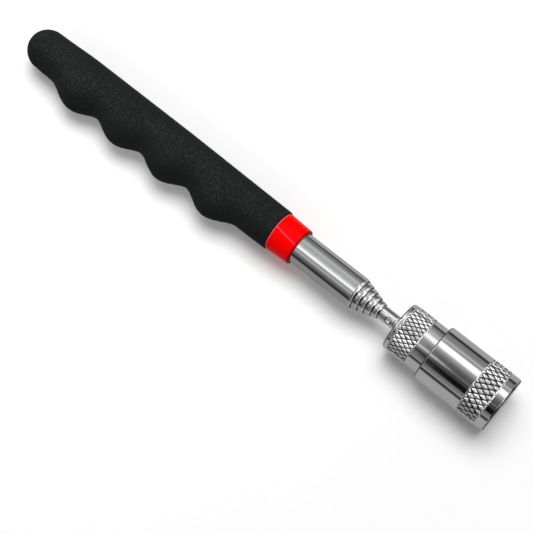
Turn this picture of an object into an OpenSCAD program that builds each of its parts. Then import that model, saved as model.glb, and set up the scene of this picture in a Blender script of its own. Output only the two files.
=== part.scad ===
// Telescoping magnetic pickup tool with a light in its head, lying on its side, collapsed.
// The tool's axis runs along X, the magnet faces +X and the finger crests point to -Y.
// Lengths along the tool are counted from the butt of the grip and moved to the middle at the end.

/* [Grip] */
// Length of the foam grip
grip_len = 107; // [95:0.5:125]
// Diameter of the grip's round body
grip_d = 14.5; // [13.5:0.1:17]
// Diameter of the grip's ball-shaped butt
butt_d = 13.7; // [13:0.1:14.2]
// Diameter of the grip where it meets the collar
grip_front_d = 14; // [13.4:0.1:15]
// Foam left behind the tube at the butt
butt_wall = 3.5; // [3:0.1:6]
// Distance from the tool's axis to the top of a finger crest
crest_reach = 11.05; // [9.5:0.05:12]
// Distance from the tool's axis to the valley between two crests
valley_reach = 8.1; // [7.6:0.1:9.2]
// Number of finger crests
crest_count = 4; // [3:1:4]
// Distance between neighbouring crests
crest_pitch = 19.4; // [17:0.1:22]
// Distance from the butt to the first crest
first_crest = 26; // [22:0.5:30]
// Length of the slope at either end of the row of crests
crest_slope = 10.7; // [8:0.1:13]

/* [Collar] */
// Length of the red collar
collar_len = 8.7; // [6:0.1:12]
// Thickness of the collar around the tube at the grip
collar_rear_wall = 1.35; // [1.1:0.05:1.6]
// Thickness of the collar around the tube at its front
collar_front_wall = 0.9; // [0.75:0.05:1.05]
// Rounding of the collar's front edge
collar_round = 0.5; // [0.2:0.05:0.7]

/* [Tubes] */
// Diameter of the outer tube
outer_tube_d = 10.6; // [10.2:0.05:11.4]
// Wall of every tube
tube_wall = 0.3; // [0.25:0.01:0.35]
// Difference in diameter from one tube to the next
tube_step = 1.2; // [1.1:0.01:1.25]
// Length of the outer tube in front of the collar
outer_tube_show = 23.8; // [15:0.1:40]
// Length of each inner tube that shows when the tool is collapsed
ring_show = 2.1; // [1.6:0.1:4]
// Length of the innermost tube between the rings and the head
neck_show = 6.6; // [6:0.1:12]
// Length of the straight mouth of each swaged tube
mouth_len = 0.3; // [0.2:0.05:0.6]
// Length of the cone that leads to the mouth
swage_len = 0.6; // [0.4:0.05:0.9]
// Length of the plug's spigot in the end of the outer tube
plug_len = 5; // [3:0.1:8]
// Thickness of the plug's rim
plug_rim = 0.8; // [0.5:0.1:1.5]

/* [Slides] */
// Length of each friction sleeve
sleeve_len = 8; // [5:0.5:14]
// Width of the slot in each friction sleeve
sleeve_slot = 0.8; // [0.5:0.1:1.5]
// Length of the flange on the tail of each inner tube
tail_flange = 0.6; // [0.4:0.1:1]
// Length of the bead in front of each friction sleeve
bead_len = 0.5; // [0.3:0.1:1]
// Height of that bead over the tube
bead_rise = 0.15; // [0.1:0.01:0.2]

/* [Neck] */
// Diameter of the pin across the neck
neck_pin_d = 1.9; // [1.4:0.1:2.4]
// Distance from the pin to the back of the head
neck_pin_back = 3.2; // [2.5:0.1:4.5]
// Turn of the pin about the tool's axis, from upright towards the crests
neck_pin_turn = 40; // [-90:1:90]
// Length of the stem inside the innermost tube
stem_len = 8; // [6:0.1:12]
// Diameter of the stem's tenon through the head's back wall
tenon_d = 2.8; // [2:0.1:3.2]

/* [Head] */
// Length of the rear cap that shows
cap_show = 13.1; // [10:0.1:18]
// Length of the chamfer on the back edge of the rear cap
cap_chamfer = 1.1; // [0.5:0.05:1.4]
// Height of that chamfer
cap_chamfer_rise = 0.75; // [0.4:0.05:1.2]
// Thickness of the rear cap's back wall
cap_wall = 2.8; // [2:0.1:4]
// Height of the rear cap's surface over its spigot
cap_step = 0.5; // [0.4:0.05:0.8]
// Wall of the front body around that spigot
body_wall = 1.85; // [1.5:0.05:2.5]
// Length of the front body
head_len = 25.4; // [23.8:0.1:30]
// Chamfer on both edges of the front body
head_chamfer = 0.3; // [0.1:0.05:0.6]
// Wall of the rear cap's spigot around the battery chamber
spigot_wall = 1.44; // [1.3:0.02:1.8]
// Length of that spigot
spigot_len = 7.7; // [6:0.1:9]
// Width of the sealing ring's groove
groove_w = 1.2; // [1:0.1:1.6]
// Depth of the sealing ring's groove
groove_depth = 0.8; // [0.6:0.05:0.9]
// Distance from the cap's step to that groove
groove_back = 0.9; // [0.7:0.1:1.2]

/* [Magnet and light] */
// Width of the front body's rim around the magnet
magnet_rim = 1.6; // [1.2:0.05:2]
// Bore of the magnet ring
magnet_bore = 7.2; // [6.8:0.1:9]
// Thickness of the magnet ring
magnet_len = 9; // [6:0.1:9.4]
// Diameter of the lamp
lamp_d = 5; // [4:0.1:5.4]
// Diameter of the lamp's rim
lamp_rim_d = 5.8; // [5.6:0.1:6]
// Length of the lamp from its rim to its tip
lamp_len = 8.6; // [7:0.1:9]
// Distance between the lamp's two legs
leg_pitch = 2.54; // [2.4:0.02:3]
// Thickness of the lamp's board
board_t = 0.8; // [0.6:0.1:1.2]
// Thickness of the contact on the board
contact_t = 0.2; // [0.1:0.05:0.4]

/* [Battery] */
// Diameter of a button cell
cell_d = 11.6; // [11:0.1:11.8]
// Height of a button cell
cell_h = 5.4; // [5.2:0.05:5.6]
// Wall of the insulating sleeve around the cells
cell_sleeve_wall = 0.3; // [0.2:0.05:0.35]
// Wire diameter of the battery spring
spring_wire = 0.6; // [0.4:0.05:0.7]
// Turns of the battery spring
spring_turns = 2.5; // [2:0.5:3]

/* [Hidden] */
$fn = 64;

// Clearances
fit_gap = 0.02;      // between pieces that are pressed or glued together
run_gap = 0.05;      // all round between pieces that slide or turn in each other
seat_gap = 0.2;      // between ends that stop against each other
chamber_gap = 0.04;  // all round between the battery sleeve and the battery chamber
cut_over = 1;        // how far a cutting solid runs past the surface it cuts

// The stack of tubes
tube_count = 6;
cell_count = 4;
mouth_1 = grip_len + collar_len + outer_tube_show;
tail_x = butt_wall + plug_rim + plug_len + seat_gap;

// The head, from the back of the rear cap to the magnet's face
cap_x = mouth_1 + (tube_count - 2) * ring_show + neck_show;
body_x = cap_x + cap_show;
tip_x = body_x + head_len;
chamber_x = cap_x + cap_wall;
chamber_d = cell_d + 2 * (fit_gap + cell_sleeve_wall + chamber_gap);
spigot_d = chamber_d + 2 * spigot_wall;
cap_d = spigot_d + 2 * cap_step;
body_bore_d = spigot_d + 2 * run_gap;
head_d = body_bore_d + 2 * body_wall;
magnet_d = head_d - 2 * magnet_rim;
spigot_end = body_x + spigot_len;
groove_x = body_x + groove_back;
tenon_head_rise = 0.8;
tenon_head_r = tenon_d / 2 + tenon_head_rise;
tenon_head_t = 0.6;

// The light and the battery, from the magnet's face back
shoulder_t = 1.2;
shoulder_bore_d = 10;
magnet_x = tip_x - magnet_len;
board_x = magnet_x - shoulder_t - board_t;
board_d = body_bore_d - 2 * fit_gap;
lamp_x = board_x + board_t + fit_gap;
lamp_rim_t = 1;
leg_d = 0.5;
cell_end = board_x - contact_t - seat_gap;
cell_x = cell_end - cell_count * cell_h;
cell_back_bare = 1.35;   // how much of the first cell the battery sleeve leaves bare
cell_front_bare = 0.9;   // how much of the last cell it leaves bare
spring_inset = 1.6;      // from a cell's edge in to the spring's widest turn
spring_taper = 1.4;      // how much narrower its last turn is, in radius
spring_sides = 8;
spring_rings = 16;

// Placing in the part's frame
lie_r = max(head_d, grip_d) / 2;
axis_y = (crest_reach - lie_r) / 2;
middle_x = tip_x / 2;

// The crests form one turned body on an axis of its own, with the grip's own radius at each crest
ridge_offset = crest_reach - grip_d / 2;
ridge_sink = 0.25;
ridge_steps = 12;
ridge_power = 0.75;

// --- functions

// Outer and inner radius of tube n
function tube_r(n) = (outer_tube_d - (n - 1) * tube_step) / 2;
function tube_bore_r(n) = tube_r(n) - tube_wall;
// Front end of tube n
function mouth_x(n) = mouth_1 + (n - 1) * ring_show;
// How far tube n slides out of the tube around it
function travel(n) = mouth_x(n - 1) - mouth_len - swage_len - sleeve_front(n) - bead_len - seat_gap;
function sleeve_back() = tail_x + tail_flange + fit_gap;
function sleeve_front(n) = sleeve_back() + sleeve_len + fit_gap;
// Rounded wave from 0 to 1, where u runs from 0 at the foot to 1 at the crest
function wave(u) = pow((1 - cos(180 * u)) / 2, ridge_power);
// Foot of the ridge on either side, just under the grip's surface
function ridge_foot() = grip_d / 2 - ridge_offset - ridge_sink;
function last_crest() = first_crest + (crest_count - 1) * crest_pitch;

// --- helpers

// Moves a solid built upright so that its axis lies on the tool's axis, its foot at x
module on_axis(x = 0) {
    translate([x, 0, 0]) rotate([0, 90, 0]) children();
}

// Solid turned about the tool's axis from points given as [x, radius]
module turned(points) {
    on_axis() rotate_extrude() polygon([for (p = points) [p[1], p[0]]]);
}

// Ring from x0 to x1 between two radii
module ring(x0, x1, r_out, r_in) {
    turned([[x0, r_in], [x0, r_out], [x1, r_out], [x1, r_in]]);
}

// From the tool's own axis to its place in the part's frame
module placed() {
    translate([-middle_x, axis_y, lie_r]) children();
}

// --- handle

module handle_grip() {
    butt_r = butt_d / 2;
    swell = 9;
    edge = 0.4;
    color("#232524") placed() difference() {
        union() {
            translate([butt_r, 0, 0]) sphere(r = butt_r);
            turned([
                [butt_r, 0], [butt_r, butt_r], [butt_r + swell, grip_d / 2],
                [last_crest(), grip_d / 2], [grip_len - edge, grip_front_d / 2],
                [grip_len, grip_front_d / 2 - edge], [grip_len, 0]
            ]);
            finger_ridge();
        }
        on_axis(butt_wall) cylinder(r = outer_tube_d / 2 + fit_gap, h = grip_len);
    }
}

module finger_ridge() {
    crest_r = grip_d / 2;
    valley_r = valley_reach - ridge_offset;
    foot_r = ridge_foot();
    near = [
        for (i = [0:ridge_steps - 1])
            [first_crest - crest_slope * (1 - i / ridge_steps),
             foot_r + (crest_r - foot_r) * wave(i / ridge_steps)]
    ];
    between = [
        for (c = [0:crest_count - 2], i = [0:2 * ridge_steps - 1])
            [first_crest + crest_pitch * (c + i / (2 * ridge_steps)),
             valley_r + (crest_r - valley_r) * wave(abs(1 - i / ridge_steps))]
    ];
    far = [
        for (i = [0:ridge_steps])
            [last_crest() + crest_slope * i / ridge_steps,
             foot_r + (crest_r - foot_r) * wave(1 - i / ridge_steps)]
    ];
    ends = [[last_crest() + crest_slope, 0], [first_crest - crest_slope, 0]];
    translate([0, -ridge_offset, 0]) turned(concat(near, between, far, ends));
}

module grip_collar() {
    x0 = grip_len;
    x1 = grip_len + collar_len;
    r0 = outer_tube_d / 2 + collar_rear_wall;
    r1 = outer_tube_d / 2 + collar_front_wall;
    bore_r = outer_tube_d / 2 + fit_gap;
    round_points = [
        for (a = [0:15:90])
            [x1 - collar_round * (1 - sin(a)), r1 - collar_round * (1 - cos(a))]
    ];
    color("#e8080c") placed() turned(concat([[x0, bore_r], [x0, r0]], round_points, [[x1, bore_r]]));
}

// --- tubes

// Mouth of tube n as profile points, from the outside round to the bore
function mouth_points(n) =
    let (x = mouth_x(n), bore_r = tube_r(n + 1) + run_gap, lip = tube_wall / 3)
    [
        [x - mouth_len - swage_len, tube_r(n)],
        [x - mouth_len, bore_r + tube_wall],
        [x - lip, bore_r + tube_wall],
        [x, bore_r + tube_wall - lip],
        [x, bore_r],
        [x - mouth_len, bore_r],
        [x - mouth_len - swage_len, tube_bore_r(n)]
    ];

// Tail of inner tube n as profile points: flange, seat of the friction sleeve, bead
function tail_points(n) =
    let (r = tube_r(n), flange_r = tube_bore_r(n - 1) - 2 * run_gap, bead_x = sleeve_front(n))
    [
        [tail_x, flange_r],
        [tail_x + tail_flange, flange_r],
        [tail_x + tail_flange, r],
        [bead_x, r],
        [bead_x, r + bead_rise],
        [bead_x + bead_len, r + bead_rise],
        [bead_x + bead_len, r]
    ];

module outer_tube() {
    x0 = butt_wall + plug_rim;
    color("#d5d7da") placed() turned(concat(
        [[x0, tube_bore_r(1)], [x0, tube_r(1)]], mouth_points(1)
    ));
}

module inner_tube(n) {
    color("#d5d7da") placed() turned(concat(
        [[tail_x, tube_bore_r(n)]], tail_points(n), mouth_points(n)
    ));
}

module last_tube() {
    n = tube_count;
    color("#d5d7da") placed() difference() {
        turned(concat(
            [[tail_x, tube_bore_r(n)]], tail_points(n), [[cap_x, tube_r(n)], [cap_x, tube_bore_r(n)]]
        ));
        across_neck() cylinder(d = neck_pin_d + 2 * fit_gap, h = outer_tube_d, center = true);
    }
}

module tube_end_plug() {
    spigot_r = tube_bore_r(1) - fit_gap;
    x0 = butt_wall + fit_gap;
    x1 = butt_wall + plug_rim;
    x2 = x1 + plug_len;
    bevel = 0.4;
    color("#3a3a3c") placed() turned([
        [x0, 0], [x0, tube_r(1)], [x1, tube_r(1)], [x1, spigot_r],
        [x2 - bevel, spigot_r], [x2, spigot_r - bevel], [x2, 0]
    ]);
}

// Split sleeve that grips inside the tube around tube n
module friction_sleeve(n) {
    x0 = sleeve_back();
    r_out = tube_bore_r(n - 1) - run_gap;
    r_in = tube_r(n) + run_gap / 2;
    color("#c9a24a") placed() difference() {
        ring(x0, x0 + sleeve_len, r_out, r_in);
        translate([x0 - cut_over, -sleeve_slot / 2, 0]) cube([sleeve_len + 2 * cut_over, sleeve_slot, grip_d]);
    }
}

// --- neck

// Places an upright solid at the neck pin, turned about the tool's axis
module across_neck() {
    translate([cap_x - neck_pin_back, 0, 0]) rotate([neck_pin_turn, 0, 0]) children();
}

module neck_stem() {
    shank_r = tube_bore_r(tube_count) - fit_gap;
    tenon_r = tenon_d / 2;
    color("#9a9da1") placed() difference() {
        turned([
            [cap_x - stem_len, 0], [cap_x - stem_len, shank_r], [cap_x, shank_r],
            [cap_x, tenon_r], [chamber_x - tenon_head_t, tenon_r],
            [chamber_x - tenon_head_t, tenon_head_r], [chamber_x, tenon_head_r], [chamber_x, 0]
        ]);
        across_neck() cylinder(d = neck_pin_d + 2 * fit_gap, h = outer_tube_d, center = true);
    }
}

// Cross pin whose ends are dished and sit just under the tube's surface
module neck_pin() {
    sunk = 0.1;
    dish = 0.15;
    half = tube_r(tube_count) - sunk;
    r = neck_pin_d / 2;
    color("#b4b6b9") placed() across_neck() rotate_extrude() polygon([
        [0, -half + dish], [r - dish, -half], [r, -half], [r, half], [r - dish, half], [0, half - dish]
    ]);
}

// --- head

module rear_cap() {
    r = cap_d / 2;
    spigot_r = spigot_d / 2;
    chamber_r = chamber_d / 2;
    hole_r = tenon_d / 2 + fit_gap;
    seat_r = tenon_head_r + fit_gap;
    seat_t = tenon_head_t + fit_gap;
    g0 = groove_x;
    g1 = groove_x + groove_w;
    groove_r = spigot_r - groove_depth;
    color("#cfd1d4") placed() turned([
        [cap_x, hole_r], [cap_x, r - cap_chamfer_rise], [cap_x + cap_chamfer, r], [body_x, r],
        [body_x, spigot_r], [g0, spigot_r], [g0, groove_r], [g1, groove_r], [g1, spigot_r],
        [spigot_end, spigot_r], [spigot_end, chamber_r], [chamber_x, chamber_r],
        [chamber_x, seat_r], [chamber_x - seat_t, seat_r], [chamber_x - seat_t, hole_r]
    ]);
}

module cap_seal_ring() {
    groove_r = spigot_d / 2 - groove_depth;
    ring_r = (body_bore_d / 2 - run_gap - groove_r - fit_gap) / 2;
    x = groove_x + groove_w / 2;
    color("#1c1c1e") placed() on_axis(x) rotate_extrude() translate([groove_r + fit_gap + ring_r, 0]) circle(r = ring_r);
}

module front_body() {
    r = head_d / 2;
    c = head_chamfer;
    bore_r = body_bore_d / 2;
    board_front = board_x + board_t;
    magnet_r = magnet_d / 2 + fit_gap;
    color("#cfd1d4") placed() turned([
        [body_x, bore_r], [body_x, r - c], [body_x + c, r], [tip_x - c, r], [tip_x, r - c],
        [tip_x, magnet_r], [magnet_x, magnet_r], [magnet_x, shoulder_bore_d / 2],
        [board_front, shoulder_bore_d / 2], [board_front, bore_r]
    ]);
}

module magnet_ring() {
    c = 0.3;
    r_out = magnet_d / 2;
    r_in = magnet_bore / 2;
    color("#b9bcc0") placed() turned([
        [magnet_x, r_in], [magnet_x, r_out], [tip_x - c, r_out], [tip_x, r_out - c],
        [tip_x, r_in + c], [tip_x - c, r_in]
    ]);
}

// --- light

// Two round bars of diameter d from x0 to x1, where the lamp's legs run
module leg_bars(d, x0, x1) {
    for (side = [-1, 1])
        translate([0, side * leg_pitch / 2, 0]) on_axis(x0) cylinder(d = d, h = x1 - x0, $fn = 16);
}

module lamp() {
    dome_x = lamp_x + lamp_len - lamp_d / 2;
    color("#e9f0f4") placed() union() {
        turned([
            [lamp_x, 0], [lamp_x, lamp_rim_d / 2], [lamp_x + lamp_rim_t, lamp_rim_d / 2],
            [lamp_x + lamp_rim_t, lamp_d / 2], [dome_x, lamp_d / 2], [dome_x, 0]
        ]);
        translate([dome_x, 0, 0]) sphere(d = lamp_d);
        leg_bars(leg_d, board_x - contact_t / 2, lamp_x + lamp_rim_t / 2);
    }
}

module lamp_holder() {
    r_out = magnet_bore / 2 - fit_gap;
    x0 = lamp_x;
    x1 = lamp_x + lamp_rim_t + fit_gap;
    x2 = lamp_x + lamp_len - lamp_d / 2;
    rim_r = lamp_rim_d / 2 + fit_gap;
    lamp_r = lamp_d / 2 + fit_gap;
    color("#202124") placed() turned([
        [x0, rim_r], [x0, r_out], [x2, r_out], [x2, lamp_r], [x1, lamp_r], [x1, rim_r]
    ]);
}

module lamp_board() {
    leg_room = 0.3;
    color("#1f6b3a") placed() difference() {
        on_axis(board_x) cylinder(d = board_d, h = board_t);
        leg_bars(leg_d + leg_room, board_x - cut_over, board_x + board_t + cut_over);
    }
}

module board_contact() {
    contact_d = leg_pitch - 2 * leg_d;
    color("#d8b45c") placed() on_axis(board_x - contact_t) cylinder(d = contact_d, h = contact_t);
}

// --- battery

module button_cell(i) {
    x0 = cell_x + (i - 1) * cell_h;
    r = cell_d / 2;
    cup = 0.9;
    bevel = 0.35;
    color("#c3c6ca") placed() turned([
        [x0, 0], [x0, r - cup - bevel], [x0 + bevel, r - cup], [x0 + cup, r],
        [x0 + cell_h - bevel, r], [x0 + cell_h, r - bevel], [x0 + cell_h, 0]
    ]);
}

module battery_sleeve() {
    r_in = cell_d / 2 + fit_gap;
    color("#e6e2d8") placed() ring(cell_x + cell_back_bare, cell_end - cell_front_bare, r_in + cell_sleeve_wall, r_in);
}

// Conical spring between the back wall and the first cell: point on its centre line at turn t
function spring_point(t) =
    let (
        u = t / spring_turns,
        r = cell_d / 2 - spring_inset - spring_taper * u,
        x0 = chamber_x + spring_wire / 2 + fit_gap,
        x1 = cell_x - spring_wire / 2 - fit_gap
    )
    [x0 + (x1 - x0) * u, r * cos(360 * t), r * sin(360 * t)];

function spring_loop(t) =
    let (c = spring_point(t))
    [
        for (k = [0:spring_sides - 1])
            let (a = 360 * k / spring_sides)
            c + spring_wire / 2 * [sin(a), cos(a) * cos(360 * t), cos(a) * sin(360 * t)]
    ];

module battery_spring() {
    last = spring_turns * spring_rings;
    points = [for (i = [0:last]) each spring_loop(i / spring_rings)];
    sides = [
        for (i = [0:last - 1], k = [0:spring_sides - 1])
            let (a = i * spring_sides + k, b = i * spring_sides + (k + 1) % spring_sides)
            each [[a, a + spring_sides, b + spring_sides], [a, b + spring_sides, b]]
    ];
    start = [for (k = [1:spring_sides - 2]) [0, k, k + 1]];
    end_0 = last * spring_sides;
    end = [for (k = [1:spring_sides - 2]) [end_0, end_0 + k + 1, end_0 + k]];
    color("#a7abb0") placed() polyhedron(points, concat(sides, start, end));
}

echo(total_length = tip_x);
echo(travels = [for (n = [2:tube_count]) travel(n)]);

handle_grip();
grip_collar();
outer_tube();
tube_end_plug();
inner_tube(2);  // tube_2
inner_tube(3);  // tube_3
inner_tube(4);  // tube_4
inner_tube(5);  // tube_5
last_tube();  // tube_6
friction_sleeve(2);  // friction_sleeve_2
friction_sleeve(3);  // friction_sleeve_3
friction_sleeve(4);  // friction_sleeve_4
friction_sleeve(5);  // friction_sleeve_5
friction_sleeve(6);  // friction_sleeve_6
neck_stem();
neck_pin();
rear_cap();
cap_seal_ring();
battery_spring();
battery_sleeve();
button_cell(1);  // button_cell_1
button_cell(2);  // button_cell_2
button_cell(3);  // button_cell_3
button_cell(4);  // button_cell_4
lamp_board();
board_contact();
lamp();
lamp_holder();
magnet_ring();
front_body();
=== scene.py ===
"""Looks of the telescoping magnetic pickup tool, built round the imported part.

Lengths are in millimetres along the tool's axis, counted from the butt of the grip, and radii are
measured from that axis. The helper place() brings them into the part's frame, in metres.
"""

import math

import bpy
from mathutils import Matrix, Vector


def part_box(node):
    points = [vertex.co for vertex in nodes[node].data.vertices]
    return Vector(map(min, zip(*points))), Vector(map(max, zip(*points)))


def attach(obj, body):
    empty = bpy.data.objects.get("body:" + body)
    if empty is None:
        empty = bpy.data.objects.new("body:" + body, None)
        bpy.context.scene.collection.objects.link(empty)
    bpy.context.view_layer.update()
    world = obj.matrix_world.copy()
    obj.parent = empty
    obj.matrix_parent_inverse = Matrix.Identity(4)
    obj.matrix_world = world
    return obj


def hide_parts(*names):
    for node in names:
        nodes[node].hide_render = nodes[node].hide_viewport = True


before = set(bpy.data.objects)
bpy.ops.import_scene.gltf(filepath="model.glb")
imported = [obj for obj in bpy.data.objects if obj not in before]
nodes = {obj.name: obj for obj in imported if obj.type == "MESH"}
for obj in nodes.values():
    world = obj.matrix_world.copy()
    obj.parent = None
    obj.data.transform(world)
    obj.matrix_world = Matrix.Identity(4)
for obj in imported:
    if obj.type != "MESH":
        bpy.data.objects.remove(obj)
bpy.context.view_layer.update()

MM = 0.001

# ---------------------------------------------------------------- where the part is

body_low, body_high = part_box("front_body")
AXIS_Y = (body_low.y + body_high.y) / 2
AXIS_Z = (body_low.z + body_high.z) / 2
BUTT_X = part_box("handle_grip")[0].x

# Clearance of pieces that are seated in each other, and of pieces that slide or turn.
FIT = 0.02
RUN = 0.05


def place(x, r, turn):
    """Point at x along the axis and r from it; turn is 0 upwards and a quarter turn towards +Y."""
    return (BUTT_X + x * MM, AXIS_Y + r * MM * math.sin(turn), AXIS_Z + r * MM * math.cos(turn))


# ---------------------------------------------------------------- mesh helpers


def link_object(name, data):
    obj = bpy.data.objects.new(name, data)
    bpy.context.scene.collection.objects.link(obj)
    return obj


def add_object(name, verts, faces, sharp=35):
    mesh = bpy.data.meshes.new(name)
    mesh.from_pydata(verts, [], faces)
    mesh.validate()
    mesh.update()
    for poly in mesh.polygons:
        poly.use_smooth = True
    mesh.set_sharp_from_angle(angle=math.radians(sharp))
    return link_object(name, mesh)


def rounded(points, steps=4):
    """Profile from (x, r) or (x, r, radius) points; a corner with a radius becomes an arc."""
    out = []
    count = len(points)
    for i, p in enumerate(points):
        if len(p) == 2:
            out.append(Vector(p))
            continue
        here = Vector(p[:2])
        back = Vector(points[i - 1][:2]) - here
        ahead = Vector(points[(i + 1) % count][:2]) - here
        half = back.angle(ahead) / 2
        cut = min(p[2] / math.tan(half), back.length * 0.49, ahead.length * 0.49)
        radius = cut * math.tan(half)
        a = here + back.normalized() * cut
        b = here + ahead.normalized() * cut
        centre = here + (back.normalized() + ahead.normalized()).normalized() * (radius / math.sin(half))
        start = a - centre
        end = b - centre
        span = start.angle(end)
        for k in range(steps + 1):
            t = k / steps
            if span < 1e-6:
                out.append(a.lerp(b, t))
            else:
                from_start = start * (math.sin((1 - t) * span) / math.sin(span))
                from_end = end * (math.sin(t * span) / math.sin(span))
                out.append(centre + from_start + from_end)
    return [(v.x, v.y) for v in out]


# A straight longer than LONG gets a point GUARD away from each end.
LONG = 0.3
GUARD = 0.04


def guarded(profile):
    """The profile with a point close to both ends of each long straight, so that the straight shades flat."""
    out = []
    for here, there in zip(profile, profile[1:]):
        out.append(here)
        length = math.dist(here, there)
        if length > LONG:
            for f in (GUARD / length, 1 - GUARD / length):
                out.append((here[0] + (there[0] - here[0]) * f, here[1] + (there[1] - here[1]) * f))
    out.append(profile[-1])
    return out


def grid(rows, columns, closed=True):
    """Row, column and corners of each cell between rings of points; closed joins the last ring to the first."""
    for j in range(rows if closed else rows - 1):
        a = j * columns
        b = (j + 1) % rows * columns
        for i in range(columns):
            k = (i + 1) % columns
            yield j, i, (a + i, b + i, b + k, a + k)


def lathe(name, profile, columns=192):
    """Turned piece from a profile of (x, r) points that closes on itself."""
    profile = guarded(profile)
    verts = [place(x, r, 2 * math.pi * i / columns) for x, r in profile for i in range(columns)]
    return add_object(name, verts, [corners for _, _, corners in grid(len(profile), columns)])


# ---------------------------------------------------------------- material helpers

# The range that most of a noise texture lies in.
MIDDLE = (0.3, 0.7)


class Nodes:
    """Small builder for a material's or the world's node tree."""

    def __init__(self, tree):
        self.tree = tree
        tree.nodes.clear()

    def add(self, kind, links=None, **settings):
        node = self.tree.nodes.new(kind)
        values = settings.pop("values", {})
        for key, value in settings.items():
            setattr(node, key, value)
        for key, value in values.items():
            node.inputs[key].default_value = value
        for key, socket in (links or {}).items():
            self.tree.links.new(socket, node.inputs[key])
        return node

    def fill(self, node, index, value):
        """Sets an input of the node to a plain value or links a socket to it."""
        if isinstance(value, (int, float, tuple)):
            node.inputs[index].default_value = value
        else:
            self.tree.links.new(value, node.inputs[index])

    def maths(self, operation, a, b=0.0, c=None):
        node = self.add("ShaderNodeMath", operation=operation)
        for i, value in enumerate((a, b) if c is None else (a, b, c)):
            self.fill(node, i, value)
        return node.outputs[0]

    def fade(self, value, low, high, to_low=0.0, to_high=1.0):
        """Smooth change from to_low to to_high, as the value goes from low to high."""
        return self.add(
            "ShaderNodeMapRange",
            {"Value": value},
            interpolation_type="SMOOTHSTEP",
            values={"From Min": low, "From Max": high, "To Min": to_low, "To Max": to_high},
        ).outputs["Result"]

    def blend(self, factor, a, b):
        node = self.add("ShaderNodeMix", data_type="RGBA")
        for index, value in ((0, factor), (6, a), (7, b)):
            self.fill(node, index, value)
        return node.outputs[2]

    def scale(self, color, factor):
        node = self.add("ShaderNodeVectorMath", {0: color}, operation="SCALE", values={"Scale": factor})
        return node.outputs[0]

    def parts(self, vector):
        """X, Y and Z of a vector."""
        return self.add("ShaderNodeSeparateXYZ", {0: vector}).outputs

    def here(self):
        """Object coordinates, in metres."""
        return self.add("ShaderNodeTexCoord").outputs["Object"]


def grey(v):
    return (v, v, v, 1.0)


def new_material(name):
    mat = bpy.data.materials.new(name)
    mat.use_nodes = True
    return mat, Nodes(mat.node_tree)


def noise(n, vector, scale=1.0, detail=3.0, rough=0.5):
    return n.add(
        "ShaderNodeTexNoise",
        {"Vector": vector},
        values={"Scale": scale, "Detail": detail, "Roughness": rough},
    ).outputs["Fac"]


def stretched(n, along, around):
    """Object coordinates scaled along the axis and across it."""
    scale = (along, around, around)
    return n.add("ShaderNodeMapping", {"Vector": n.here()}, values={"Scale": scale}).outputs["Vector"]


def from_axis(n, at):
    """How far a point lies from the axis towards +Y and upwards, in metres."""
    return n.maths("SUBTRACT", at["Y"], AXIS_Y), n.maths("SUBTRACT", at["Z"], AXIS_Z)


def mottled(n, cloud, low, high):
    return n.blend(n.fade(cloud, *MIDDLE), low, high)


def principled(n, color, rough, metallic=0.0, normal=None, **values):
    links = {}
    plain = {"Metallic": metallic}
    for key, value in (("Base Color", color), ("Roughness", rough)):
        if isinstance(value, (int, float, tuple)):
            plain[key] = value
        else:
            links[key] = value
    if normal is not None:
        links["Normal"] = normal
    plain.update(values)
    shader = n.add("ShaderNodeBsdfPrincipled", links, values=plain)
    n.add("ShaderNodeOutputMaterial", {"Surface": shader.outputs[0]})


def bump(n, height, strength, distance, under=None):
    links = {"Height": height}
    if under is not None:
        links["Normal"] = under
    values = {"Strength": strength, "Distance": distance * MM}
    return n.add("ShaderNodeBump", links, values=values).outputs["Normal"]


def metal_surface(n, rough, spread, streak, wave):
    """Cloud, roughness and normal of plated metal: fine drawn streaks, a slight ripple, uneven polish."""
    drawn = noise(n, stretched(n, 25, 2600), detail=4.0, rough=0.6)
    cloud = noise(n, stretched(n, 180, 180))
    worn = n.maths("ADD", n.maths("MULTIPLY", cloud, 0.6), n.maths("MULTIPLY", drawn, 0.4))
    normal = None
    if streak:
        normal = bump(n, drawn, 1.0, streak)
    if wave:
        normal = bump(n, noise(n, stretched(n, 260, 260), detail=1.0), 1.0, wave, normal)
    return cloud, n.fade(worn, *MIDDLE, rough, rough + spread), normal


def metal(name, color, rough, streak=0.0, spread=0.02, wave=0.0):
    """Plated or turned metal; spread is how uneven the polish is, streak and wave are depths in mm."""
    mat, n = new_material(name)
    cloud, gloss, normal = metal_surface(n, rough, spread, streak, wave)
    low = tuple(c * 0.95 for c in color) + (1.0,)
    principled(n, mottled(n, cloud, low, color + (1.0,)), gloss, 1.0, normal)
    return mat


def plastic(name, color, rough):
    """Plain moulding with a fine grain."""
    mat, n = new_material(name)
    fine = noise(n, stretched(n, 900, 900), detail=4.0, rough=0.6)
    cloud = noise(n, stretched(n, 120, 120), detail=2.0)
    low = tuple(c * 0.88 for c in color) + (1.0,)
    high = tuple(min(1.0, c * 1.04) for c in color) + (1.0,)
    gloss = n.fade(fine, *MIDDLE, rough * 0.85, rough * 1.2)
    principled(n, mottled(n, cloud, low, high), gloss, 0.0, bump(n, fine, 1.0, 0.01))
    return mat


# ---------------------------------------------------------------- grip

GRIP_LEN = 107.0
GRIP_R = 7.5
GRIP_EDGE = 0.4
GRIP_COLUMNS = 128
STATION = 0.45
BUTT_R = 6.95
BUTT_STEPS = 14
FRONT_R = 7.0
BORE_X = 3.5
CREST_REACH = 11.05
VALLEY_REACH = (7.8, 7.72, 7.4)
CRESTS = 4
FIRST_CREST = 26.0
CREST_PITCH = 19.4
CREST_SLOPE = 11.0
CREST_FULLNESS = 0.85
RIDGE_POWER = 4.3
SWELL = 18.0
LAST_CREST = FIRST_CREST + (CRESTS - 1) * CREST_PITCH
TAPER_X = LAST_CREST - CREST_PITCH
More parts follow.
